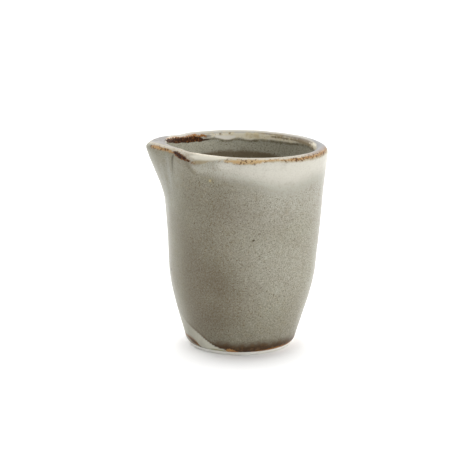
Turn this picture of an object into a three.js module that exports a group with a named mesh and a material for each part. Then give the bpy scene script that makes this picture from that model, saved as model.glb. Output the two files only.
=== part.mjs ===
// A small pouring jug without a handle: a round clay wall with a pulled and pinched spout, and its coat of glaze.
// Millimetres, +Z up. The spout points along -X. The origin is on the table, midway between the spout's tip and the
// back of the rim. Angles are in radians, measured round the jug's axis from the spout.
import * as THREE from "three";

// The round clay wall: its radius at the foot, how much wider it is at each height, and its thickness
const footRadius = 19.8;
const flare = [
  { z: 0, by: 0 },
  { z: 3, by: 1.0 },
  { z: 10, by: 3.2 },
  { z: 20, by: 6.4 },
  { z: 28, by: 8.3 },
  { z: 36, by: 9.2 },
  { z: 48, by: 10.4 },
  { z: 62, by: 11.6 },
  { z: 74, by: 13.0 },
  { z: 84, by: 14.1 },
];
const wall = 3.9;
const floorThickness = 5.0;
const floorFillet = 9.0;

// The rim, a little higher towards the spout, with its crest nearer the inside
const rimHeight = 77.4;
const rimTilt = 1.7;
const lipLift = 0.7;
const lipLiftHalfAngle = 0.4;
const crestShare = 0.4;
const insideRounding = 1.4;
const outsideRounding = 2.2;

// Beside the spout the rim's outer edge is rolled over further.
const roll = 2.7;
const rollAngle = 0.99;
const rollHalfAngle = 0.43;

// The spout is pulled out of the rim, and the wall below it is drawn in.
const spoutReach = 3.7;
const spoutHalfAngle = 0.37;
const spoutDrop = 23.5;
const spoutLand = 7.6;
const spoutLandHalfAngle = 0.45;
const hollowDepth = 2.1;
const hollowHeight = 53.8;
const hollowHalfHeight = 26;

// The channel that the liquid runs through, across the lip and down the inside
const channelDepth = 0.8;
const channelHalfAngle = 0.15;
const channelDrop = 30;

// A finger's pinch on each flank of the spout, the crease in it, and the flank pressed flatter behind it
const pinchDepth = 1.4;
const pinchAngle = 0.6;
const pinchHalfAngle = 0.21;
const pinchDrop = 24;
const creaseDepth = 0.5;
const creaseHalfAngle = 0.08;
const creaseDrop = 13;
const flankDepth = 0.9;
const flankAngle = 1.03;
const flankHalfAngle = 0.35;
const flankDrop = 40;

// The foot ring under the base, a little fuller on the spout's side
const footRingWidth = 3.4;
const footRecess = 1.6;
const footEdge = 0.6;
const footFullness = 0.6;
const footFullnessHeight = 25;

// The glaze
const glaze = 0.45;
const glazeLine = 1.4;
const baseGlazeMargin = 1.2;

// How finely the surfaces are cut up
const around = 66;
const spoutCrowding = 0.5;
const wallRings = 11;
const outsideRimRings = 4;
const insideRimRings = 3;
const floorRings = 4;

const clamp01 = (t) => Math.min(1, Math.max(0, t));
const smooth = (t) => clamp01(t) * clamp01(t) * (3 - 2 * clamp01(t));
const bell = (x, half) => Math.exp(-((x / half) ** 2));

// Angles round the jug, closer together at the spout.
const angles = Array.from({ length: around }, (_, i) => {
  const even = (2 * Math.PI * i) / around;
  return even - spoutCrowding * Math.sin(even);
});
const fromSpout = (angle) => Math.abs(Math.atan2(Math.sin(angle), Math.cos(angle)));
const facingSpout = (angle) => 0.5 + 0.5 * Math.cos(angle);

const profileCurve = new THREE.SplineCurve(flare.map((p) => new THREE.Vector2(footRadius + p.by, p.z)));
const profileTable = profileCurve.getPoints(400);

// The radius of the round wall's outside at height z. Above the last point the wall goes on straight.
function wallRadius(z) {
  const next = profileTable.findIndex((p) => p.y >= z);
  if (next === 0) return footRadius;
  const [below, above] = next > 0 ? profileTable.slice(next - 1, next + 1) : profileTable.slice(-2);
  return below.x + ((above.x - below.x) * (z - below.y)) / (above.y - below.y);
}

// The height of the rim's crest before the channel is pressed into it.
function crestHeight(angle) {
  const lift = lipLift * bell(fromSpout(angle), lipLiftHalfAngle);
  return rimHeight + rimTilt * facingSpout(angle) + lift;
}

// How much is left, at height z, of something done at the rim that fades out `drop` below it.
const leftBelowRim = (angle, z, drop) => smooth(1 - (crestHeight(angle) - z) / drop);

const channel = (angle, z) =>
  channelDepth * leftBelowRim(angle, z, channelDrop) * bell(fromSpout(angle), channelHalfAngle);

function crease(angle, z) {
  const across = bell(fromSpout(angle) - pinchAngle, creaseHalfAngle);
  return creaseDepth * leftBelowRim(angle, z, creaseDrop) * across;
}

function outerRadius(angle, z) {
  const off = fromSpout(angle);
  const towardsSpout = facingSpout(angle) ** 2;
  const spout = spoutReach * leftBelowRim(angle, z, spoutDrop) * bell(off, spoutHalfAngle);
  const pinch = pinchDepth * leftBelowRim(angle, z, pinchDrop) * bell(off - pinchAngle, pinchHalfAngle);
  const flank = flankDepth * leftBelowRim(angle, z, flankDrop) * bell(off - flankAngle, flankHalfAngle);
  const hollow = hollowDepth * towardsSpout * bell(z - hollowHeight, hollowHalfHeight);
  const fullness = footFullness * towardsSpout * smooth(1 - z / footFullnessHeight);
  return wallRadius(z) + spout - pinch - crease(angle, z) - flank - hollow + fullness;
}
function thickness(angle, z) {
  const extra = (spoutLand - wall) * bell(fromSpout(angle), spoutLandHalfAngle);
  return wall + extra * leftBelowRim(angle, z, spoutDrop) - channel(angle, z) - crease(angle, z);
}
const innerRadius = (angle, z) => outerRadius(angle, z) - thickness(angle, z);

const outsideTop = (angle) =>
  crestHeight(angle) - outsideRounding - roll * bell(fromSpout(angle) - rollAngle, rollHalfAngle);
const insideTop = (angle) => crestHeight(angle) - insideRounding - channel(angle, crestHeight(angle));

// The clay's section at one angle, as [radius, height] pairs in four stretches that join end to end.
function undersideSection() {
  const ringInside = footRadius - footRingWidth;
  return [
    [0, footRecess],
    [ringInside - footRecess, footRecess],
    [ringInside, 0],
    [footRadius - footEdge, 0],
  ];
}
function outsideSection(angle) {
  const heights = [footEdge, glazeLine];
  for (let i = 1; i <= wallRings; i++) {
    heights.push(glazeLine + ((outsideTop(angle) - glazeLine) * i) / wallRings);
  }
  return heights.map((z) => [outerRadius(angle, z), z]);
}
function rimSection(angle) {
  const low = [outerRadius(angle, outsideTop(angle)), outsideTop(angle)];
  const end = [innerRadius(angle, insideTop(angle)), insideTop(angle)];
  const crest = [
    end[0] + crestShare * (low[0] - end[0]),
    crestHeight(angle) - channel(angle, crestHeight(angle)),
  ];
  const section = [];
  for (let i = 1; i <= outsideRimRings; i++) {
    const turn = (Math.PI / 2) * (i / outsideRimRings);
    section.push([
      crest[0] + (low[0] - crest[0]) * Math.cos(turn),
      low[1] + (crest[1] - low[1]) * Math.sin(turn),
    ]);
  }
  for (let i = 1; i < insideRimRings; i++) {
    const turn = (Math.PI / 2) * (i / insideRimRings);
    section.push([
      crest[0] + (end[0] - crest[0]) * Math.sin(turn),
      end[1] + (crest[1] - end[1]) * Math.cos(turn),
    ]);
  }
  return section;
}
function insideSection(angle) {
  const top = insideTop(angle);
  const bottom = floorThickness + floorFillet;
  const section = [];
  for (let i = 0; i <= wallRings; i++) {
    const z = top + ((bottom - top) * i) / wallRings;
    section.push([innerRadius(angle, z), z]);
  }
  const corner = innerRadius(angle, bottom) - floorFillet;
  for (let i = 1; i <= floorRings; i++) {
    const turn = (Math.PI / 2) * (i / floorRings);
    section.push([
      corner + floorFillet * Math.cos(turn),
      bottom - floorFillet * Math.sin(turn),
    ]);
  }
  section.push([0, floorThickness]);
  return section;
}

// A section moved off the clay by a distance, along the section's own normal.
function offset(section, distance) {
  return section.map(([r, z], i) => {
    if (i === section.length - 1) return [0, z + distance];
    const [r0, z0] = section[Math.max(0, i - 1)];
    const [r1, z1] = section[i + 1];
    const run = Math.hypot(r1 - r0, z1 - z0);
    return [r + (distance * (z1 - z0)) / run, z - (distance * (r1 - r0)) / run];
  });
}

// Joins the sections at all the angles into one closed surface. The first and the last point lie on the axis.
// Two surfaces that run opposite ways over the same points match where one of them is mirrored.
function loft(sectionAt, mirrored = false) {
  const sections = angles.map(sectionAt);
  const rings = sections[0].length;
  const position = [];
  const add = (angle, [r, z]) =>
    position.push(-r * Math.cos(angle), -r * Math.sin(angle), z) / 3 - 1;
  const start = add(0, sections[0][0]);
  const ring = [];
  for (let k = 1; k < rings - 1; k++) {
    ring.push(angles.map((angle, i) => add(angle, sections[i][k])));
  }
  const end = add(0, sections[0][rings - 1]);
  const index = [];
  angles.forEach((_, i) => {
    const j = (i + 1) % around;
    index.push(start, ring[0][j], ring[0][i]);
    for (let k = 0; k + 1 < ring.length; k++) {
      const [a, b, c, d] = [ring[k][i], ring[k][j], ring[k + 1][j], ring[k + 1][i]];
      index.push(...(mirrored ? [a, b, d, b, c, d] : [a, b, c, a, c, d]));
    }
    index.push(end, ring.at(-1)[i], ring.at(-1)[j]);
  });
  const geometry = new THREE.BufferGeometry();
  geometry.setAttribute("position", new THREE.Float32BufferAttribute(position, 3));
  geometry.setIndex(index);
  geometry.computeVertexNormals();
  return geometry;
}

// The clay: underside, outside, rim and inside in one.
const clayGeometry = loft((angle) => [
  ...undersideSection(),
  ...outsideSection(angle),
  ...rimSection(angle),
  ...insideSection(angle),
]);

// The glaze: from the floor inside, up over the rim and down to the glaze line, and back along the clay.
const glazeGeometry = loft((angle) => {
  const clay = [
    ...outsideSection(angle).slice(1),
    ...rimSection(angle),
    ...insideSection(angle),
  ];
  return [...clay].reverse().concat(offset(clay, glaze));
}, true);

// The glaze on the recessed underside, inside the bare foot ring.
const baseGlazeGeometry = loft(() => {
  const edge = footRadius - footRingWidth - footRecess - baseGlazeMargin;
  return [
    [0, footRecess - glaze],
    [edge - glaze, footRecess - glaze],
    [edge, footRecess],
    [0, footRecess],
  ];
});

const clay = new THREE.MeshStandardMaterial({ color: 0xe6e1d5, roughness: 0.8, metalness: 0 });
const glass = new THREE.MeshStandardMaterial({ color: 0x8c887c, roughness: 0.3, metalness: 0 });

const jug = new THREE.Group();
for (const [name, geometry, material] of [
  ["clay_body", clayGeometry, clay],
  ["glaze_coat", glazeGeometry, glass],
  ["base_glaze", baseGlazeGeometry, glass],
]) {
  const mesh = new THREE.Mesh(geometry, material);
  mesh.name = name;
  jug.add(mesh);
}
const box = new THREE.Box3().setFromObject(jug);
jug.position.x = -(box.min.x + box.max.x) / 2;

export default jug;
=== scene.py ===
"""A small pouring jug of glazed stoneware, on a pale table under soft studio light.

Metres, +Z up, spout towards -X. The jug's own sizes are written in millimetres, and MM brings them to metres.
"""

import math

import bpy
import numpy as np
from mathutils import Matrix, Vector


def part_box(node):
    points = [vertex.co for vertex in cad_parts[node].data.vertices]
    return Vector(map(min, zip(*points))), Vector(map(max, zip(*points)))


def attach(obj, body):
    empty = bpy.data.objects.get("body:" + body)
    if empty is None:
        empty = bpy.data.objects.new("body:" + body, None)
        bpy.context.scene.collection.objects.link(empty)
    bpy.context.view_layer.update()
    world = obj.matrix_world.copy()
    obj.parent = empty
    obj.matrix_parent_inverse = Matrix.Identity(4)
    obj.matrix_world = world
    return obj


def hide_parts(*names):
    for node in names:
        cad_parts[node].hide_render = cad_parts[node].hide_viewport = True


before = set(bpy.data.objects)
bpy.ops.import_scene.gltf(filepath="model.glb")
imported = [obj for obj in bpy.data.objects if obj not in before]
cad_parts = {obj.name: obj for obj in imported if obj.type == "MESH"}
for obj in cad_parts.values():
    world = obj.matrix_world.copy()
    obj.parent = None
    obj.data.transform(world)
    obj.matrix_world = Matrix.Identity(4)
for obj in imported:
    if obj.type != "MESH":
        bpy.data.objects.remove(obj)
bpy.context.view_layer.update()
scene = bpy.context.scene
MM = 0.001


# The fired clay body
# One piece of buff stoneware: foot ring, floor, wall and rim, with the spout pulled and pinched while soft.
# Only the foot ring stays bare. The form follows the jug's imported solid, on a much finer mesh.
PROFILE_HEIGHTS = np.array([0, 3, 10, 20, 28, 36, 48, 62, 74, 84.0])
PROFILE_RADII = np.array([19.8, 20.8, 23.0, 26.2, 28.1, 29.0, 30.2, 31.4, 32.8, 33.9])
WALL = 3.9
FLOOR_THICKNESS = 5.0
FLOOR_FILLET = 9.0

# The rim rises a little towards the spout, with its crest nearer the inside, and is rolled over beside it.
RIM_HEIGHT = 77.4
RIM_TILT = 1.7
LIP_LIFT = 0.7
LIP_LIFT_HALF_ANGLE = 0.4
CREST_SHARE = 0.4
INSIDE_ROUNDING = 1.4
OUTSIDE_ROUNDING = 2.2
ROLL = 2.7
ROLL_ANGLE = 0.99
ROLL_HALF_ANGLE = 0.43

# The spout is pulled out of the rim, the wall below it is drawn in, and a channel runs over its lip.
SPOUT_REACH = 3.7
SPOUT_HALF_ANGLE = 0.37
SPOUT_DROP = 23.5
SPOUT_LAND = 7.6
SPOUT_LAND_HALF_ANGLE = 0.45
HOLLOW_DEPTH = 2.1
HOLLOW_HEIGHT = 53.8
HOLLOW_HALF_HEIGHT = 26
CHANNEL_DEPTH = 0.8
CHANNEL_HALF_ANGLE = 0.15
CHANNEL_DROP = 30

# Each flank of the spout has a finger's pinch with a crease in it, and is pressed flatter behind it.
PINCH_DEPTH = 1.4
PINCH_ANGLE = 0.6
PINCH_HALF_ANGLE = 0.21
PINCH_DROP = 24
CREASE_DEPTH = 0.5
CREASE_HALF_ANGLE = 0.08
CREASE_DROP = 13
FLANK_DEPTH = 0.9
FLANK_ANGLE = 1.03
FLANK_HALF_ANGLE = 0.35
FLANK_DROP = 40

# The foot ring has a small rounded edge, and the wall over it is a little fuller on the spout's side.
FOOT_RADIUS = PROFILE_RADII[0]
FOOT_RING_WIDTH = 3.4
FOOT_RECESS = 1.6
FOOT_EDGE = 0.6
FOOT_EDGE_POWER = 0.6
FOOT_EDGE_RINGS = 4
FOOT_FULLNESS = 0.6
FOOT_FULLNESS_HEIGHT = 25

# How finely the wall is cut up, closer together at the spout, and where the jug's axis stands in the frame
AROUND = 320
SPOUT_CROWDING = 0.35
CURVE_STEPS = 2001
base_low, base_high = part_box("base_glaze")
AXIS_X = (base_low.x + base_high.x) / 2

even_angles = np.linspace(0, 2 * np.pi, AROUND, endpoint=False)
ANGLES = even_angles - SPOUT_CROWDING * np.sin(even_angles)
FROM_SPOUT = np.abs(np.arctan2(np.sin(ANGLES), np.cos(ANGLES)))
FACING_SPOUT = 0.5 + 0.5 * np.cos(ANGLES)


def smooth(t):
    t = np.clip(t, 0, 1)
    return t * t * (3 - 2 * t)


def bell(x, half):
    return np.exp(-((x / half) ** 2))


def curve_through(points):
    """Points along the uniform Catmull-Rom curve through a list of values."""
    steps = np.linspace(0, len(points) - 1 - 1e-9, CURVE_STEPS)
    i = steps.astype(int)
    t = steps - i
    start, end = points[i], points[i + 1]
    before, after = points[np.maximum(i - 1, 0)], points[np.minimum(i + 2, len(points) - 1)]
    leaving, arriving = (end - before) / 2, (after - start) / 2
    cubic = 2 * start - 2 * end + leaving + arriving
    square = 3 * end - 3 * start - 2 * leaving - arriving
    return cubic * t**3 + square * t**2 + leaving * t + start


PROFILE = (curve_through(PROFILE_HEIGHTS), curve_through(PROFILE_RADII))
CREST = RIM_HEIGHT + RIM_TILT * FACING_SPOUT + LIP_LIFT * bell(FROM_SPOUT, LIP_LIFT_HALF_ANGLE)


def left_below_rim(z, drop):
    """How much is left, at a height, of something done at the rim that fades out some way below it."""
    return smooth(1 - (CREST - z) / drop)


def channel(z):
    return CHANNEL_DEPTH * left_below_rim(z, CHANNEL_DROP) * bell(FROM_SPOUT, CHANNEL_HALF_ANGLE)


def crease(z):
    return CREASE_DEPTH * left_below_rim(z, CREASE_DROP) * bell(FROM_SPOUT - PINCH_ANGLE, CREASE_HALF_ANGLE)


def outer_radius(z):
    spout = SPOUT_REACH * left_below_rim(z, SPOUT_DROP) * bell(FROM_SPOUT, SPOUT_HALF_ANGLE)
    pinch = PINCH_DEPTH * left_below_rim(z, PINCH_DROP) * bell(FROM_SPOUT - PINCH_ANGLE, PINCH_HALF_ANGLE)
    flank = FLANK_DEPTH * left_below_rim(z, FLANK_DROP) * bell(FROM_SPOUT - FLANK_ANGLE, FLANK_HALF_ANGLE)
    hollow = HOLLOW_DEPTH * FACING_SPOUT**2 * bell(z - HOLLOW_HEIGHT, HOLLOW_HALF_HEIGHT)
    fullness = FOOT_FULLNESS * FACING_SPOUT**2 * smooth(1 - z / FOOT_FULLNESS_HEIGHT)
    return np.interp(z, *PROFILE) + spout - pinch - crease(z) - flank - hollow + fullness


def inner_radius(z):
    land = (SPOUT_LAND - WALL) * bell(FROM_SPOUT, SPOUT_LAND_HALF_ANGLE) * left_below_rim(z, SPOUT_DROP)
    return outer_radius(z) + crease(z) - WALL - land + channel(z)


OUTSIDE_TOP = CREST - OUTSIDE_ROUNDING - ROLL * bell(FROM_SPOUT - ROLL_ANGLE, ROLL_HALF_ANGLE)
INSIDE_TOP = CREST - INSIDE_ROUNDING - channel(CREST)


def outside_rings(bottom, count):
    heights = [bottom + (OUTSIDE_TOP - bottom) * share for share in np.linspace(0, 1, count)]
    return [(outer_radius(z), z) for z in heights]


def rim_rings(count):
    low = (outer_radius(OUTSIDE_TOP), OUTSIDE_TOP)
    end = (inner_radius(INSIDE_TOP), INSIDE_TOP)
    crest = (end[0] + CREST_SHARE * (low[0] - end[0]), CREST - channel(CREST))
    quarter = np.linspace(0, np.pi / 2, count)
    rings = [
        (crest[0] + (low[0] - crest[0]) * np.cos(turn), low[1] + (crest[1] - low[1]) * np.sin(turn))
        for turn in quarter[1:]
    ]
    rings += [
        (crest[0] + (end[0] - crest[0]) * np.sin(turn), end[1] + (crest[1] - end[1]) * np.cos(turn))
        for turn in quarter[1:-1]
    ]
    return rings


def inside_rings(count, fillet_count, floor_count):
    bottom = FLOOR_THICKNESS + FLOOR_FILLET
    heights = [INSIDE_TOP + (bottom - INSIDE_TOP) * share for share in np.linspace(0, 1, count)]
    rings = [(inner_radius(z), z) for z in heights]
    corner = inner_radius(np.full(AROUND, float(bottom))) - FLOOR_FILLET
    for turn in np.linspace(0, np.pi / 2, fillet_count)[1:]:
        rings.append((corner + FLOOR_FILLET * np.cos(turn), bottom - FLOOR_FILLET * np.sin(turn)))
    for share in np.linspace(1, 0, floor_count)[1:]:
        rings.append((corner * share, FLOOR_THICKNESS))
    return rings


def wall_rings(bottom, outside, rim, inside, fillet, floor):
    """Rings from a height outside, over the rim and down to the middle of the floor, by their counts."""
    return outside_rings(bottom, outside) + rim_rings(rim) + inside_rings(inside, fillet, floor)


def as_grid(rings):
    """The rings as a grid of (ring, angle, radius and height), in millimetres."""
    grid = [[np.broadcast_to(radius, AROUND), np.broadcast_to(z, AROUND)] for radius, z in rings]
    return np.array(grid).transpose(0, 2, 1)


def lathe_mesh(name, grid, marks=None):
    """One closed mesh from a grid whose first and last rings lie on the axis, with marks at its points."""
    rings = len(grid) - 2
    radius, height = grid[1:-1, :, 0], grid[1:-1, :, 1]
    ring_points = np.stack([-radius * np.cos(ANGLES), -radius * np.sin(ANGLES), height], 2).reshape(-1, 3)
    poles = np.array([[0, 0, grid[0, 0, 1]], [0, 0, grid[-1, 0, 1]]])
    points = np.vstack([ring_points, poles]) * MM + [AXIS_X, 0, 0]
    here = np.arange(AROUND)
    beyond = (here + 1) % AROUND
    starts = np.arange(rings - 1)[:, None] * AROUND
    quads = np.stack([starts + here, starts + beyond, starts + AROUND + beyond, starts + AROUND + here], 2)
    faces = quads.reshape(-1, 4).tolist()
    first, last = rings * AROUND, rings * AROUND + 1
    top = (rings - 1) * AROUND
    faces += [[first, j, i] for i, j in zip(here.tolist(), beyond.tolist())]
    faces += [[last, top + i, top + j] for i, j in zip(here.tolist(), beyond.tolist())]
    mesh = bpy.data.meshes.new(name)
    mesh.from_pydata(points.tolist(), [], faces)
    mesh.polygons.foreach_set("use_smooth", [True] * len(mesh.polygons))
    for mark_name, mark in (marks or {}).items():
        attribute = mesh.attributes.new(mark_name, "FLOAT", "POINT")
        flat = np.concatenate([mark[1:-1].ravel(), [mark[0, 0], mark[-1, 0]]])
        attribute.data.foreach_set("value", flat.astype(np.float32))
    piece = bpy.data.objects.new(name, mesh)
    scene.collection.objects.link(piece)
    return piece


class Recipe:
    """The nodes of a material or of the light, written as a potter's recipe. Lengths are in metres."""

    def __init__(self, owner):
        self.owner = owner
        owner.use_nodes = True
        self.tree = owner.node_tree
        self.tree.nodes.clear()
        self.coordinates = self.add("ShaderNodeTexCoord").outputs
        self.colour = None

    def add(self, kind, settings=None, inputs=None):
        node = self.tree.nodes.new(kind)
        for key, value in (settings or {}).items():
            setattr(node, key, value)
        for key, value in (inputs or {}).items():
            if isinstance(value, bpy.types.NodeSocket):
                self.tree.links.new(value, node.inputs[key])
            else:
                node.inputs[key].default_value = value
        return node

    def maths(self, operation, a, b):
        return self.add("ShaderNodeMath", {"operation": operation}, {0: a, 1: b}).outputs[0]

    def product(self, *values):
        result = values[0]
        for value in values[1:]:
            result = self.maths("MULTIPLY", result, value)
        return result

    def noise(self, size, detail=2.0, roughness=0.5, place=None):
        place = place or self.coordinates["Object"]
        inputs = {"Vector": place, "Scale": 1 / size, "Detail": detail, "Roughness": roughness}
        return self.add("ShaderNodeTexNoise", {}, inputs).outputs["Fac"]

    def step(self, value, low, high):
        """0 below low, 1 above high and smooth between them; low may be the larger one."""
        flipped = low > high
        inputs = {0: value, 1: min(low, high), 2: max(low, high), 3: float(flipped), 4: float(not flipped)}
        return self.add("ShaderNodeMapRange", {"interpolation_type": "SMOOTHSTEP"}, inputs).outputs[0]

    def mix(self, first, second, amount):
        """Two colours mixed; a colour or the amount may come from a node."""
        colours = [
            colour if isinstance(colour, bpy.types.NodeSocket) else (*colour, 1)
            for colour in (first, second)
        ]
        inputs = {0: amount, 6: colours[0], 7: colours[1]}
        return self.add("ShaderNodeMix", {"data_type": "RGBA"}, inputs).outputs[2]

    def lay(self, colour, *amounts):
        """Lays a colour over those so far, as thickly as the product of its amounts. The first covers all."""
        self.colour = self.mix(self.colour, colour, self.product(*amounts)) if amounts else colour

    def fray(self, value, noise, amount):
        """A value with an uneven edge: moved up and down by a noise."""
        inputs = {0: noise, 1: amount, 2: -amount / 2}
        moved = self.add("ShaderNodeMath", {"operation": "MULTIPLY_ADD"}, inputs).outputs[0]
        return self.maths("ADD", value, moved)

    def mark(self, name):
        """A mark that the mesh carries at its points."""
        return self.add("ShaderNodeAttribute", {"attribute_name": name}).outputs["Fac"]

    def bump(self, height, distance):
        return self.add("ShaderNodeBump", {}, {"Height": height, "Distance": distance}).outputs[0]

    def surface(self, **inputs):
        """The finished material, in the colours laid so far."""
        named = {key.replace("_", " "): value for key, value in inputs.items()}
        shader = self.add("ShaderNodeBsdfPrincipled", {}, {"Base Color": self.colour, **named})
        self.add("ShaderNodeOutputMaterial", {}, {"Surface": shader.outputs[0]})
        return self.owner


def finish_piece(piece, material, node):
    piece.data.materials.append(material)
    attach(piece, "root")
    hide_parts(node)


underside = [
    (0, FOOT_RECESS),
    (FOOT_RADIUS - FOOT_RING_WIDTH - FOOT_RECESS, FOOT_RECESS),
    (FOOT_RADIUS - FOOT_RING_WIDTH, 0),
    (FOOT_RADIUS - FOOT_EDGE, 0),
]
foot_edge = []
for turn in np.linspace(0, math.pi / 2, FOOT_EDGE_RINGS + 2)[1:-1]:
    out = FOOT_EDGE * math.sin(turn) ** FOOT_EDGE_POWER + FOOT_FULLNESS * FACING_SPOUT**2 * math.sin(turn)
    up = FOOT_EDGE * (1 - math.cos(turn) ** FOOT_EDGE_POWER)
    foot_edge.append((FOOT_RADIUS - FOOT_EDGE + out, up))
body_wall = wall_rings(FOOT_EDGE, outside=60, rim=8, inside=50, fillet=10, floor=8)
clay_body = lathe_mesh("clay_body_fired", as_grid(underside + foot_edge + body_wall))

bare = Recipe(bpy.data.materials.new("fired_clay"))
grain = bare.noise(0.6 * MM, 4, 0.7)
stain = bare.noise(6 * MM, 3)
bare.lay((0.96, 0.95, 0.89))
bare.lay((0.91, 0.89, 0.82), bare.step(stain, 0.4, 0.65))
bare.lay((0.50, 0.43, 0.34), bare.step(grain, 0.66, 0.76))
clay_material = bare.surface(Roughness=0.8, Normal=bare.bump(grain, 0.12 * MM))
finish_piece(clay_body, clay_material, "clay_body")


# The coat of glaze
# One skin of semi-gloss reactive glaze, poured inside and dipped outside, from the floor inside over the rim
# to a line above the foot. It breaks cream and ochre where it runs thin, and pools dark at the bottom.
GLAZE = 0.45
GLAZE_LINE = 1.4
THINNEST_GLAZE = 0.04
EDGE_ROUNDING = 1.2
RIPPLE_DEPTH = 0.05
RIPPLE_SIZE = 9
RIPPLE_WAVES = 14
RIPPLE_SPREAD = (0.6, 1.3)
RIPPLE_GAIN = 0.7
RIPPLE_SEED = 3
RIPPLE_FROM_EDGE = 4
OUTSIDE_COUNT, RIM_COUNT = 130, 14
NOWHERE = -9.0
OUT_OF_REACH = 99.0


def ripple(grid):
    """Smooth random waves over a grid of sections, mostly between -1 and 1."""
    random = np.random.default_rng(RIPPLE_SEED)
    x, y, z = -grid[..., 0] * np.cos(ANGLES), -grid[..., 0] * np.sin(ANGLES), grid[..., 1]
    total = 0
    for _ in range(RIPPLE_WAVES):
        run = random.normal(size=3)
        run *= 2 * np.pi / RIPPLE_SIZE * random.uniform(*RIPPLE_SPREAD) / np.linalg.norm(run)
        total = total + np.cos(run[0] * x + run[1] * y + run[2] * z + random.uniform(0, 2 * np.pi))
    return total / math.sqrt(RIPPLE_WAVES) * RIPPLE_GAIN


def along(grid):
    """Distance run along each section, from its first ring."""
    steps = np.linalg.norm(np.diff(grid, axis=0), axis=2)
    return np.vstack([np.zeros(AROUND), np.cumsum(steps, axis=0)])


def section_normals(grid):
    """Unit vectors square to each section, pointing off the clay, straight up at the floor's middle."""
    run = np.gradient(grid, axis=0)
    run /= np.maximum(np.linalg.norm(run, axis=2, keepdims=True), 1e-9)
    normals = np.stack([run[..., 1], -run[..., 0]], 2)
    normals[-1] = [0, 1]
    return normals


glazed_clay = as_grid(wall_rings(GLAZE_LINE, OUTSIDE_COUNT, RIM_COUNT, inside=90, fillet=16, floor=12))
distance = along(glazed_clay)
depth = GLAZE * smooth(distance / EDGE_ROUNDING) ** 0.5
depth += RIPPLE_DEPTH * ripple(glazed_clay) * smooth(distance / RIPPLE_FROM_EDGE)
glaze_face = glazed_clay + section_normals(glazed_clay) * np.maximum(depth, THINNEST_GLAZE)[..., None]
glaze_face[-1, :, 0] = 0
clay_side = as_grid(wall_rings(GLAZE_LINE, outside=40, rim=8, inside=30, fillet=10, floor=8)[::-1])

# Places on the glaze are given by a bearing in degrees from the spout, 90 on the near side and -90 on the far
# one, and by a level. A level is either the millimetres run from the rim's crest, down the outside or as a
# minus down the inside, or the height over the table. A path that passes the back goes on past 180.
BEARING = (np.degrees(ANGLES) + 180) % 360 - 180
FULL_BEARING = BEARING % 360
BESIDE_SPOUT = np.abs(BEARING)
CREST_RING = OUTSIDE_COUNT + RIM_COUNT - 2
from_crest = distance[CREST_RING] - distance
outside = from_crest > 0
height = np.where(outside, glazed_clay[..., 1], OUT_OF_REACH)
mm_per_degree = np.radians(glazed_clay[..., 0])


def round_the_jug(values):
    """A value that changes round the jug, given at some bearings."""
    return np.interp(BEARING, list(values), list(values.values()), period=360)


def at_every_level(values):
    """A mark that changes round the jug, and is the same from the rim to the foot."""
    return np.broadcast_to(round_the_jug(values), from_crest.shape)


def fade(value, width):
    """0 where a value is under 0, 1 where it is over the width and smooth between them."""
    return smooth(value / width)


def across_from(bearing):
    """Millimetres round the jug from a bearing."""
    return ((BEARING - bearing + 180) % 360 - 180) * mm_per_degree


def stroke(level, *path):
    """How far inside a brush stroke each point lies, in millimetres, by bearings, levels and half widths."""
    inside = np.full(level.shape, NOWHERE)
    for (bearing, start, half), (next_bearing, end, next_half) in zip(path, path[1:] or path):
        across, down = across_from(bearing), level - start
        run_across, run_down = (next_bearing - bearing) * mm_per_degree, end - start
        run_squared = run_across**2 + run_down**2 + 1e-9
        share = np.clip((across * run_across + down * run_down) / run_squared, 0, 1)
        far = np.hypot(across - share * run_across, down - share * run_down)
        inside = np.maximum(inside, half + share * (next_half - half) - far)
    return inside


def strokes(level, *paths):
    """Several brush strokes as one mark."""
    return np.maximum.reduce([stroke(level, *path) for path in paths])


def blob(level, bearing, middle, half_width, half_height):
    """1 in the middle of a soft oval and 0 at its edge and beyond."""
    return smooth(1.5 - np.hypot(across_from(bearing) / half_width, (level - middle) / half_height))


def blobs(level, *spots):
    """Soft ovals added up, each by its amount, bearing, middle, half width and half height."""
    return sum(amount * blob(level, *place) for amount, *place in spots)


marks = {}

# The break: where the glaze runs off the rim's edge, a ragged band of amber and brown round the outside, with
# a yellowish haze below it. Beside the crease it is a dark brown drop.
break_middle = round_the_jug({
    -30: 2.6, 0: 3.6, 12: 3.5, 20: 2.7, 26: 2.3, 33: 2.2, 36: 2.4, 42: 2.35, 47: 2.8, 51: 3.35, 55: 3.4,
    61: 2.7, 67: 2.5, 77: 1.8, 82: 2.0, 93: 2.1, 100: 1.95, 106: 1.7, 112: 1.6, 127: 2.0, 148: 1.9, 171: 1.8,
    -170: 2.2, -90: 2.3,
})
break_half = round_the_jug({
    -24: 0.5, -18: -0.6, 8: -0.6, 10: 0.35, 13: 0.85, 20: 0.8, 26: 0.7, 31: 0.5, 34: 0.3, 37: -0.6, 47: -0.6,
    51: 0.1, 55: 0.1, 61: 0.0, 66: -0.4, 74: -0.35, 77: 0.15, 81: 0.45, 86: 0.85, 93: 0.95, 102: 0.85,
    107: 0.4, 119: 0.45, 128: 0.7, 148: 0.75, 165: 0.7, -170: 0.5, -120: 0.3, -90: 0.45, -60: 0.2,
})
marks["break"] = break_half - np.abs(from_crest - break_middle)
marks["break_brown"] = at_every_level({
    -90: 0.5, -30: 0.2, 8: 1.0, 12: 0.8, 15: 0.35, 26: 0.45, 31: 0.3, 51: 0.9, 60: 0.4, 80: 0.1, 90: 0.25,
    100: 0.25, 106: 0.1, 118: 0.35, 128: 0.5, 150: 0.6, 165: 0.6, -170: 0.5,
})
marks["break_pale"] = at_every_level({66: 0, 78: 0.5, 100: 0.55, 112: 0.2, 124: 0.05, 180: 0})
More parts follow.
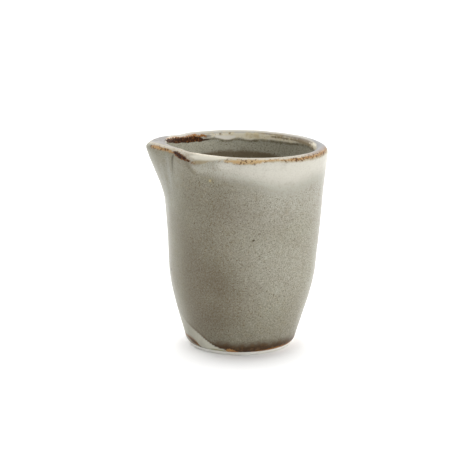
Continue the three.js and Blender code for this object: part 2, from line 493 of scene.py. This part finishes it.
marks["drop"] = stroke(
    from_crest, (34, 1.9, 0.5), (38.5, 2.15, 0.85), (44, 2.5, 0.9), (49, 3.0, 0.65), (53, 3.5, 0.25),
    (58, 3.8, 0.05),
)
haze_depth = round_the_jug({
    0: 0.2, 6: 0.3, 54: 0.4, 58: 1.6, 64: 1.4, 69: 0.5, 80: 0.4, 87: 1.3, 96: 1.5, 104: 1.1, 120: 1.5,
    150: 1.7, -170: 1.3,
})
marks["haze"] = fade(break_middle + haze_depth - from_crest, 1.1) * fade(from_crest - break_middle + 0.7, 0.6)

# A dark patch with an orange fringe lies inside beside the spout, and a thin dark line runs on from it round
# the rim. Below the line the inner wall is lighter near the spout, which is painted light on the side that
# faces the light, and further down the glaze is brown, darkened further by painted shade.
marks["patch"] = stroke(
    from_crest, (-7, -2.6, 0.6), (-12, -2.9, 0.8), (-22, -2.95, 1.1), (-28, -2.95, 0.9), (-34, -2.7, 0.95),
    (-41, -2.9, 1.15), (-48, -2.95, 1.1), (-53, -3.3, 0.8), (-58, -3.7, 0.4), (-63, -3.6, 0.1),
)
marks["patch_fringe"] = stroke(
    from_crest, (-9, -2.2, 0.3), (-15, -2.0, 0.3), (-24, -1.8, 0.35), (-28, -2.1, 0.25), (-34, -1.8, 0.3),
    (-41, -1.75, 0.35), (-48, -1.75, 0.5), (-53, -2.1, 0.35), (-57, -1.9, 0.45), (-60, -2.4, 0.1),
)
line_level = round_the_jug({
    -180: -3.6, -156: -3.3, -144: -3.4, -133: -4.1, -105: -4.1, -97: -4.8, -89: -4.1, -85: -4.0, -81: -4.7,
    -77: -4.7, -72: -4.0, -68: -3.4, -58: -3.8, -10: -3.2, 0: -3.2, 20: -3.6, 90: -4.6, 150: -4.2,
})
line_half = round_the_jug({-180: 0.2, -125: 0.35, -90: 0.25, -60: 0.25, -20: 0.2, 0: -0.6, 20: -0.2, 90: 0.3})
marks["inner_line"] = line_half - np.abs(from_crest - line_level)
# Painted light: how much lighter the inner wall below the line is made, most where it faces the light.
light_amount = round_the_jug({
    -180: 0.4, -150: 0.5, -110: 0.55, -75: 0.72, -50: 0.9, -20: 0.7, 0: 0.3, 90: 0.2,
})
marks["painted_light_inside"] = light_amount * fade(line_level + 0.5 - from_crest, 0.8)
# Deep inside, the glaze is brown and darkened further by painted shade.
deep_level = round_the_jug({-180: -9, -128: -8.6, -100: -7.4, -60: -7.6, -40: -9, 90: -9})
marks["deep_brown_and_shade"] = fade(deep_level - from_crest, 2.2)

# Above the line the rim has a pale collar, with yellow and tan stains and a painted highlight on the far
# side.
far_side = round_the_jug({-170: 0, -150: 1, -60: 1, -40: 0, 90: 0})
marks["collar"] = fade(from_crest - line_level + 0.3, 1.6) * fade(1.2 - from_crest, 1.0)
marks["collar_yellow"] = marks["collar"] * fade(-0.8 - from_crest, 0.7) * far_side
# A painted highlight: a whitish patch on the far collar.
marks["collar_highlight"] = stroke(
    from_crest, (-69, -2.6, 0.5), (-74, -3.1, 0.6), (-79, -3.3, 0.7), (-85, -3.1, 0.4)
)
marks["collar_stain"] = strokes(
    from_crest,
    [(-115, -2.2, 0.3), (-123, -2.2, 0.45), (-132, -2.1, 0.35), (-140, -2.2, 0.5), (-148, -2.2, 0.7),
     (-157, -2.3, 0.6), (-167, -2.9, 0.5)],
    [(-72.5, -1.8, 0.5), (-73, -1.8, 0.5)],
    [(-80.5, -1.7, 0.3), (-81, -1.7, 0.3)],
)
marks["far_line"] = stroke(
    from_crest, (-100, -1.3, 0.0), (-107, -1.4, 0.2), (-132, -1.5, 0.25), (-147, -1.4, 0.35),
    (-163, -1.4, 0.3),
)

# The rim's crest is pale and greyer on the far side. Round the back lies a painted grey reflection, the
# back's outer edge is mauve, and a painted lavender reflection lies on the spout's lip and inside beside the
# patch.
# A lighter run lies beside the brown drop.
far_top = round_the_jug({-170: 0, -150: 1, -14: 1, -4: 0, 90: 0})
pale_amount = round_the_jug({50: 1, 57: 0.55, 68: 0.6, 78: 0.9, 84: 1})
marks["crest_pale"] = pale_amount * fade(from_crest + 1.2, 0.6) * fade(break_middle - 0.1 - from_crest, 0.8)
marks["far_crest"] = far_top * fade(from_crest + 2.2, 1.0) * fade(2.4 - from_crest, 0.8)
# A painted reflection: grey on the crest round the back.
marks["crest_grey_reflection"] = stroke(
    from_crest, (240, 1.5, 0.5), (210, 1.0, 1.3), (185, 0.3, 1.7), (165, -0.5, 1.6), (150, -0.9, 1.0),
    (130, -0.9, 0.6), (100, -0.9, 0.4), (70, -0.9, 0.4),
)
marks["mauve"] = stroke(
    from_crest, (178, 0.9, 0.4), (170, 1.0, 0.8), (160, 1.0, 0.8), (146, 0.8, 0.4), (138, 0.8, 0.1)
)
# A painted reflection: lavender on the spout's lip and inside beside the patch.
marks["lavender_reflection"] = strokes(
    from_crest,
    [(-52, -2.3, 0.3), (-58, -2.5, 0.55), (-64, -2.4, 0.3)],
    [(-15, 0.2, 1.6), (-2, -0.2, 2.6), (8, -0.2, 1.6), (24, -0.6, 0.6), (34, -0.4, 0.5)],
)
marks["rim_light"] = stroke(
    from_crest, (52, 1.6, 0.2), (57, 1.5, 0.8), (65, 1.3, 0.9), (73, 1.1, 0.8), (80, 0.8, 0.3)
)

# A cream band hangs below the break on the near side and round the back, with a sharp edge towards the spout,
# a brown shadow along that edge and a thin veil of cream below it, which is also painted light where it grows
# stronger towards the back.
cream_full = round_the_jug({
    45: 2, 52: 3.3, 55: 5.0, 58: 5.8, 61: 6.2, 67: 5.6, 73: 5.2, 80: 5.0, 99: 5.0, 109: 4.8, 120: 5.0,
    132: 4.8, 144: 4.4, 180: 4.4, -90: 4.0, -50: 3.0, -30: 2.0,
})
cream_end = round_the_jug({
    45: 3, 52: 4.5, 55: 6.5, 58: 7.8, 61: 8.6, 67: 9.4, 73: 10.4, 80: 11.6, 90: 12.4, 99: 13.6, 109: 15.5,
    120: 16.5, 132: 16.0, 144: 14.0, 180: 14.0, -90: 12.0, -50: 8.0, -30: 5.0,
})
cream_amount = round_the_jug({
    -40: 0.4, -20: 0, 48: 0, 53: 0.42, 73: 0.44, 85: 0.66, 99: 0.84, 112: 0.95, 130: 0.97, 144: 0.88,
    180: 0.8, -90: 0.8,
})
cream_band = cream_amount * fade(cream_end - from_crest, cream_end - cream_full) * fade(from_crest, 0.8)
marks["cream"] = cream_band + blobs(from_crest, (0.35, 80, 3.6, 3.2, 1.1))
marks["cream_shadow"] = strokes(
    from_crest,
    [(50, 4.2, 0.4), (53, 5.4, 0.7), (55.5, 7.0, 0.4)],
    [(52, 3.8, 0.4), (57, 3.9, 0.5), (61, 3.6, 0.1)],
)
# The veil is a thin cream glaze and also painted light: it is made stronger on the side towards the back.
veil_and_light_amount = round_the_jug({0: 0, 70: 0, 90: 0.2, 120: 0.42, 150: 0.4, -110: 0.25, -40: 0})
marks["veil_and_painted_light"] = veil_and_light_amount * fade(34 - from_crest, 28) * fade(from_crest, 0.8)

# In the crease beside the spout the glaze is darkened by painted shade, and on the spout's side of it there
# are pale runs. A painted sheen lies high on each flank beside the spout.
# Painted shade in the crease on each side of the spout
marks["crease"] = strokes(
    from_crest,
    [(34.5, 3.2, 0.3), (34, 4.2, 0.28), (33.5, 6.5, 0.12), (33.5, 10, -0.1)],
    [(-34.5, 3.2, 0.3), (-34, 4.2, 0.28), (-33.5, 7.5, 0.1)],
)
spout_runs = 0.8 * bell(BESIDE_SPOUT - 29.5, 2.2) * fade(from_crest - 3, 2) * fade(22 - from_crest, 12)
spout_runs += 0.5 * bell(BESIDE_SPOUT - 22.0, 1.8) * fade(from_crest - 5, 4) * fade(26 - from_crest, 10)
# Painted sheen: a paler glaze high on the flanks beside the spout, added to the pale runs.
side_sheen = fade(44 - BESIDE_SPOUT, 16) * fade(from_crest - 4, 8) * fade(height - 46, 18) * outside
marks["pale_runs_and_sheen"] = spout_runs + 0.55 * side_sheen

# At the foot a pale run slants across under the spout, with a brown spot below it. Beyond it the glaze pools
# dark, with olive and amber along its lower edge.
run_top = round_the_jug({
    -60: 8, -20: 24, 0: 22, 10: 17, 20: 13.2, 27: 11.5, 34: 10.2, 41: 8.7, 47: 7.4, 52: 6.0, 58: 4.5, 63: 3.5,
    68: 2.9, 74: 2.4, 80: 1.4, 180: -5,
})
run_low = round_the_jug({
    -60: 6, -20: 5.6, 10: 6.2, 18: 5.6, 27: 5.4, 34: 4.8, 38: 4.1, 42: 2.6, 45: 1.4, 90: 1.0,
})
run_amount = round_the_jug({
    -60: 0.2, 10: 0.3, 20: 0.32, 29: 0.3, 34: 0.4, 39: 0.52, 45: 0.66, 51: 0.8, 57: 1.0, 180: 1.0,
})
run_edge = 0.5 + 1.2 * fade(48 - BEARING, 24)
marks["pale_run"] = run_amount * smooth(0.5 + np.minimum(run_top - height, height - run_low) / run_edge)
beside_run = smooth(1 - np.abs(height - run_top - 0.5) / 1.3)
marks["run_side"] = beside_run * fade(BEARING - 24, 14) * fade(76 - BEARING, 6)
marks["brown_spot"] = stroke(
    height, (-30, 4.0, 1.2), (0, 4.6, 0.9), (20, 4.5, 0.5), (27, 4.0, 0.95), (33, 3.4, 1.1), (38, 2.9, 0.8),
    (42, 2.3, 0.2),
)
pool_top = round_the_jug({
    40: 1.0, 48: 6.6, 55: 5.6, 61: 4.8, 77: 4.5, 84: 4.1, 94: 4.5, 104: 4.7, 111: 4.9, 121: 4.4, 135: 4.1,
    150: 3.6, 180: 3.6, -90: 4.2, -40: 5.0, -30: 4,
})
marks["pool"] = pool_top - height
above_pool = fade(pool_top + 3.6 - height, 4.2)
marks["pool_haze"] = above_pool * fade(FULL_BEARING - 56, 12) * fade(320 - FULL_BEARING, 20)
marks["olive"] = stroke(height, (56, 1.8, 0.1), (60, 2.0, 0.25), (67, 1.9, 0.35), (73, 1.6, 0.4))
marks["amber"] = stroke(height, (75, 2.0, 0.4), (78, 2.3, 0.6), (82, 2.1, 0.55), (86, 1.5, 0.2))
marks["amber_rim"] = strokes(
    height,
    [(74, 1.5, 0.1), (77, 1.6, 0.3), (81, 1.7, 0.5), (87, 1.6, 0.35)],
    [(92, 1.4, 0.0), (100, 1.5, 0.2), (112, 1.7, 0.4), (125, 1.8, 0.5), (150, 1.8, 0.5), (210, 1.8, 0.4)],
)

# The wall's clouds: thicker and browner on the near side towards the spout, where painted shade darkens them
# further, and painted light towards the back. The dots are fewer beside the spout and in the cream.
# Brown thick glaze, and painted shade on the near side towards the spout, away from the light.
marks["thick_glaze_and_shade"] = blobs(
    height, (0.48, 60, 27, 11, 22), (0.24, 52, 50, 9, 16), (0.30, 76, 25, 14, 12), (0.32, 66, 63, 10, 9),
    (0.30, 72, 9, 13, 10), (0.15, 38, 30, 9, 30), (0.35, 88, 63, 10, 9), (0.30, 86, 33, 12, 9),
    (0.28, 94, 51, 15, 10),
)
# Painted light: lighter clouds on the near side towards the back.
marks["painted_light_cloud"] = blobs(height, (0.6, 128, 48, 20, 24), (0.3, 118, 34, 14, 12))
calm = cream_amount * fade(cream_end + 1 - from_crest, 4) * outside
marks["speckled"] = (1 - 0.55 * fade(62 - BESIDE_SPOUT, 26) * outside) * (1 - 0.85 * calm)
marks["pale_dots"] = marks["speckled"] * (1 - 0.6 * np.clip(marks["thick_glaze_and_shade"], 0, 1))

# A few pinholes and specks
marks["speck"] = strokes(
    height, [(60.6, 69.0, 0.22)], [(98.8, 47.5, 0.42)], [(46.0, 68.8, 0.12)], [(57.0, 66.5, 0.12)],
    [(17.0, 31.0, 0.5)], [(72.0, 57.0, 0.12)],
)
marks["pale_speck"] = stroke(height, (68.9, 70.0, 0.45))

unmarked = np.zeros(clay_side.shape[:2])
coat_marks = {name: np.vstack([unmarked, mark]) for name, mark in marks.items()}
glaze_coat = lathe_mesh("glaze_coat_fired", np.concatenate([clay_side, glaze_face]), coat_marks)

# Two of the noises are taken from another place, so that they don't line up with the rest.
NOISE_SHIFT = (0.1, 0.2, 0.3)
coat = Recipe(bpy.data.materials.new("reactive_glaze"))
elsewhere = coat.add("ShaderNodeMapping", {}, {0: coat.coordinates["Object"], 1: NOISE_SHIFT}).outputs[0]
cloud = coat.noise(13 * MM)
wander = coat.noise(5 * MM, 3, 0.6)
ragged = coat.noise(1.6 * MM, 3, 0.6)
dots = coat.noise(0.9 * MM, 2, 0.7, elsewhere)
fine = coat.noise(0.5 * MM, 2, 0.8)
speckle = coat.noise(0.42 * MM, 1, 0.5, elsewhere)


def marked(name, low, high, *frays):
    """Where a mark passes from low to high, with its edge frayed by some noises."""
    value = coat.mark(name)
    for noise, amount in frays:
        value = coat.fray(value, noise, amount)
    return coat.step(value, low, high)


# The ground: grey-green with ochre mottling, browner where it is thick and where painted shade lies, lighter
# by painted light, and lighter in runs, painted sheen, the veil and the cream
coat.lay((0.276, 0.267, 0.206))
coat.lay((0.255, 0.240, 0.183), coat.step(cloud, 0.38, 0.62))
coat.lay((0.270, 0.232, 0.135), 0.25, coat.step(ragged, 0.48, 0.66))
# Thick glaze and painted shade
coat.lay((0.135, 0.110, 0.073), 0.75, coat.mark("thick_glaze_and_shade"))
# Painted light towards the back
coat.lay((0.387, 0.378, 0.318), 0.5, coat.mark("painted_light_cloud"))
# Pale runs and the painted sheen beside the spout
coat.lay((0.404, 0.404, 0.361), 0.5, coat.mark("pale_runs_and_sheen"))
# The thin cream veil, partly painted light
coat.lay((0.482, 0.473, 0.430), coat.fray(coat.mark("veil_and_painted_light"), cloud, 0.2))
# Painted light on the inner wall below the line
coat.lay((0.60, 0.59, 0.485), 0.8, coat.mark("painted_light_inside"))
coat.lay((0.568, 0.550, 0.482), marked("cream", 0.0, 1.0, (wander, 0.3)))

# The dots all over it, pale and brown
speckled = coat.mark("speckled")
coat.lay((0.62, 0.60, 0.50), 0.32, coat.mark("pale_dots"), coat.step(fine, 0.50, 0.70))
coat.lay((0.112, 0.076, 0.034), 0.75, speckled, coat.step(fine, 0.50, 0.26))
coat.lay((0.073, 0.043, 0.017), 0.75, speckled, coat.step(speckle, 0.60, 0.74))

# The shadow beside the cream, the brown and painted shade deep inside, and the haze under the break
coat.lay((0.146, 0.116, 0.077), 0.45, marked("cream_shadow", -1.0, 0.5))
# Brown glaze and painted shade deep inside
coat.lay((0.15, 0.110, 0.058), 0.85, marked("deep_brown_and_shade", 0.0, 1.0, (wander, 0.9), (ragged, 0.5)))
coat.lay((0.310, 0.232, 0.103), 0.55, marked("haze", 0.1, 0.9, (ragged, 0.9), (fine, 0.8)))

# The rim's collar and crest
crest_pale = coat.mark("crest_pale")
collar_yellow = coat.mark("collar_yellow")
coat.lay((0.88, 0.825, 0.66), marked("collar", 0.1, 0.9, (wander, 0.5)))
coat.lay((0.42, 0.39, 0.32), crest_pale)
coat.lay((0.27, 0.19, 0.09), 0.7, crest_pale, coat.step(dots, 0.50, 0.66))
coat.lay((0.46, 0.44, 0.39), marked("far_crest", 0.1, 0.9, (ragged, 0.5)))
# The painted grey reflection round the back
coat.lay((0.25, 0.247, 0.243), marked("crest_grey_reflection", -0.6, 0.6, (ragged, 0.6)))
coat.lay((0.66, 0.54, 0.28), 0.6, coat.step(wander, 0.46, 0.62), collar_yellow)
coat.lay((0.30, 0.19, 0.07), 0.7, coat.step(dots, 0.62, 0.72), collar_yellow)
# The painted highlight on the far collar
coat.lay((0.92, 0.89, 0.80), marked("collar_highlight", -0.4, 0.3, (ragged, 0.6)))
coat.lay((0.66, 0.63, 0.53), 0.8, marked("rim_light", -0.5, 0.5, (ragged, 0.6)))
# The painted lavender reflection
lavender_reflection = coat.mix((0.29, 0.275, 0.262), (0.21, 0.195, 0.183), coat.step(ragged, 0.42, 0.66))
coat.lay(lavender_reflection, marked("lavender_reflection", -0.6, 0.5, (ragged, 0.5)))
coat.lay((0.27, 0.20, 0.165), 0.7, marked("mauve", -0.5, 0.5, (ragged, 0.8), (fine, 1.2)))
coat.lay((0.23, 0.155, 0.07), 0.75, marked("collar_stain", -0.2, 0.3, (ragged, 1.2), (fine, 1.0)))
coat.lay((0.22, 0.17, 0.12), 0.7, marked("far_line", -0.3, 0.25, (ragged, 0.6)))

# The line and the patch inside, the break, the drop and the crease
coat.lay((0.12, 0.10, 0.055), 0.75, marked("inner_line", -0.45, 0.3, (ragged, 1.0)))
coat.lay((0.34, 0.15, 0.04), marked("patch_fringe", -0.3, 0.2, (ragged, 1.2), (fine, 1.6)))
patch_brown = coat.mix((0.20, 0.075, 0.015), (0.035, 0.010, 0.002), coat.step(dots, 0.66, 0.50))
coat.lay(patch_brown, marked("patch", -0.2, 0.15, (ragged, 0.9), (fine, 1.2)))
amber = coat.mix((0.39, 0.22, 0.075), (0.56, 0.44, 0.25), coat.fray(coat.mark("break_pale"), dots, 2.2))
amber_or_brown = coat.fray(coat.fray(coat.mark("break_brown"), ragged, 1.6), dots, 4.5)
break_colour = coat.mix(amber, (0.086, 0.030, 0.007), coat.step(amber_or_brown, 0.2, 1.0))
coat.lay(break_colour, 0.92, marked("break", -0.3, 0.5, (ragged, 1.1), (dots, 1.6), (fine, 1.4)))
drop_edge = coat.fray(coat.mark("drop"), dots, 3.0)
drop_colour = coat.mix((0.190, 0.072, 0.016), (0.026, 0.006, 0.001), coat.step(drop_edge, -0.3, 0.55))
coat.lay(drop_colour, marked("drop", -0.2, 0.2, (ragged, 0.9), (fine, 1.6)))
# Painted shade in the crease
coat.lay((0.052, 0.039, 0.026), 0.6, marked("crease", -0.5, 0.2))

# The foot: the dark pool, the pale run over it, the brown spot and the amber edge
coat.lay((0.125, 0.095, 0.062), 0.8, marked("pool_haze", 0.0, 1.0, (wander, 0.7), (ragged, 0.7)))
coat.lay((0.16, 0.125, 0.085), 0.7, coat.mark("run_side"))
rust = coat.product(0.7, coat.step(ragged, 0.50, 0.66))
pool_colour = coat.mix((0.072, 0.042, 0.022), (0.15, 0.085, 0.038), rust)
coat.lay(pool_colour, marked("pool", -1.0, 1.0, (wander, 2.2), (ragged, 2.6), (fine, 1.4)))
coat.lay((0.60, 0.585, 0.49), marked("pale_run", 0.0, 1.0, (ragged, 0.25)))
spot_middle = marked("brown_spot", 0.2, 0.75, (ragged, 0.7), (fine, 0.6))
spot_colour = coat.mix((0.241, 0.112, 0.034), (0.060, 0.033, 0.015), spot_middle)
coat.lay(spot_colour, marked("brown_spot", -0.15, 0.2, (ragged, 0.4)))
coat.lay((0.258, 0.215, 0.077), 0.7, marked("olive", -0.3, 0.2, (ragged, 0.5)))
coat.lay((0.430, 0.232, 0.095), marked("amber", -0.25, 0.25, (ragged, 1.2), (fine, 1.2)))
coat.lay((0.361, 0.138, 0.022), 0.85, marked("amber_rim", -0.2, 0.2, (ragged, 0.7)))

# The specks
coat.lay((0.039, 0.026, 0.013), 0.9, marked("speck", -0.35, 0.15))
coat.lay((0.430, 0.361, 0.189), 0.9, marked("pale_speck", -0.3, 0.15))

coat_bump = coat.bump(coat.noise(3 * MM, 3), 0.05 * MM)
coat_material = coat.surface(Roughness=0.3, Normal=coat_bump, IOR=1.42, Specular_IOR_Level=0.15)
finish_piece(glaze_coat, coat_material, "glaze_coat")


# The glaze under the base
# A thin even patch of the same glaze, brushed into the recess inside the bare foot ring, so that the jug can
# stand in the kiln on its clay.
BASE_GLAZE_MARGIN = 1.2
BASE_EDGE_ROUNDING = 0.1
BASE_EDGE_THICKNESS = 0.6
BASE_RING_SHARES = np.linspace(0.1, 0.94, 12)
base_edge = FOOT_RADIUS - FOOT_RING_WIDTH - FOOT_RECESS - BASE_GLAZE_MARGIN
base_face = FOOT_RECESS - GLAZE
base_rings = [(0, base_face)]
base_rings += [(base_edge * share, base_face) for share in BASE_RING_SHARES]
base_rings += [
    (base_edge - BASE_EDGE_ROUNDING, FOOT_RECESS - BASE_EDGE_THICKNESS * GLAZE),
    (base_edge, FOOT_RECESS),
    (0, FOOT_RECESS),
]
base_glaze = lathe_mesh("base_glaze_fired", as_grid(base_rings))

brushed = Recipe(bpy.data.materials.new("base_glaze_brushed"))
brushed.lay((0.25, 0.23, 0.17))
brushed.lay((0.18, 0.15, 0.10), brushed.step(brushed.noise(8 * MM, 3), 0.4, 0.65))
brushed.lay((0.10, 0.07, 0.04), 0.7, brushed.step(brushed.noise(0.55 * MM, 2, 0.6), 0.64, 0.74))
brushed_bump = brushed.bump(brushed.noise(3 * MM, 3), 0.05 * MM)
base_material = brushed.surface(Roughness=0.3, Normal=brushed_bump, IOR=1.5)
finish_piece(base_glaze, base_material, "base_glaze")


# The table
# A wide matt white table, which takes the jug's soft shadow. The camera and mirror reflections see it in pure
# white, and the light that it throws back onto the jug is a little weaker.
HALF_TABLE = 3.0
TABLE_SHADE = (0.88, 0.88, 0.88)
PURE_WHITE = (1.0, 1.0, 1.0)


def seen_plainly(recipe):
    """1 for rays from the camera, a mirror reflection or through glass, and 0 for the rest of the light."""
    rays = recipe.add("ShaderNodeLightPath").outputs
    mirrored = recipe.maths("MAXIMUM", rays["Is Glossy Ray"], rays["Is Transmission Ray"])
    return recipe.maths("MAXIMUM", rays["Is Camera Ray"], mirrored)


corners = [(x * HALF_TABLE, y * HALF_TABLE, 0) for x, y in ((-1, -1), (1, -1), (1, 1), (-1, 1))]
table_mesh = bpy.data.meshes.new("table_top")
table_mesh.from_pydata(corners, [], [(0, 1, 2, 3)])
table_top = bpy.data.objects.new("table_top", table_mesh)
scene.collection.objects.link(table_top)
white = Recipe(bpy.data.materials.new("white_table"))
white.lay(TABLE_SHADE)
white.lay(PURE_WHITE, seen_plainly(white))
table_top.data.materials.append(white.surface(Roughness=1.0, Specular_IOR_Level=0.0))


# The studio light
# A white surround with no lamps. Matt surfaces take light from four broad glows in it: one from the right, a
# stronger one from the right front, and two from above and behind. The camera and mirrors see it plain white.
AMBIENT = 0.02
PLAIN_STRENGTH = 1.0
GLOWS = [
    {"towards": (0.98, -0.17, 0.03), "strength": 0.9, "focus": 10.0},
    {"towards": (0.64, -0.77, 0.03), "strength": 3.0, "focus": 10.0},
    {"towards": (0.0, 0.35, 0.94), "strength": 2.2, "focus": 2.0},
    {"towards": (0.0, 0.75, 0.66), "strength": 1.7, "focus": 2.0},
]
surround = Recipe(bpy.data.worlds.new("white_surround"))
scene.world = surround.owner
light = AMBIENT
for glow in GLOWS:
    directions = {0: surround.coordinates["Generated"], 1: glow["towards"]}
    facing = surround.add("ShaderNodeVectorMath", {"operation": "DOT_PRODUCT"}, directions).outputs["Value"]
    lobe = surround.maths("POWER", surround.maths("MAXIMUM", facing, 0.0), glow["focus"])
    light = surround.maths("ADD", surround.maths("MULTIPLY", lobe, glow["strength"]), light)
choice = {"Factor": seen_plainly(surround), "A": light, "B": PLAIN_STRENGTH}
strength = surround.add("ShaderNodeMix", {}, choice).outputs["Result"]
background = surround.add("ShaderNodeBackground", {}, {"Color": (*PURE_WHITE, 1), "Strength": strength})
surround.add("ShaderNodeOutputWorld", {}, {"Surface": background.outputs[0]})


# The camera
# It stands where the photograph was taken from and looks down a little, with the spout to the left. The point
# on the jug's axis at AIM_HEIGHT falls at AXIS_PIXEL in a square picture of PHOTO_SIDE pixels.
CAMERA_DISTANCE = 0.64
CAMERA_ELEVATION = math.radians(13.56)
AIM_HEIGHT = 0.04
SENSOR_WIDTH = 36
PHOTO_SIDE = 465
FOCAL_PIXELS = 1649
AXIS_PIXEL = (240.95, 241.36)
lens = bpy.data.cameras.new("camera")
lens.sensor_width = SENSOR_WIDTH
lens.lens = FOCAL_PIXELS / PHOTO_SIDE * SENSOR_WIDTH
lens.shift_x = (PHOTO_SIDE / 2 - AXIS_PIXEL[0]) / PHOTO_SIDE
lens.shift_y = (AXIS_PIXEL[1] - PHOTO_SIDE / 2) / PHOTO_SIDE
camera = bpy.data.objects.new("camera", lens)
camera.location = (
    AXIS_X,
    -CAMERA_DISTANCE * math.cos(CAMERA_ELEVATION),
    AIM_HEIGHT + CAMERA_DISTANCE * math.sin(CAMERA_ELEVATION),
)
camera.rotation_euler = (math.pi / 2 - CAMERA_ELEVATION, 0, 0)
scene.collection.objects.link(camera)
scene.camera = camera
scene.view_settings.view_transform = "Standard"
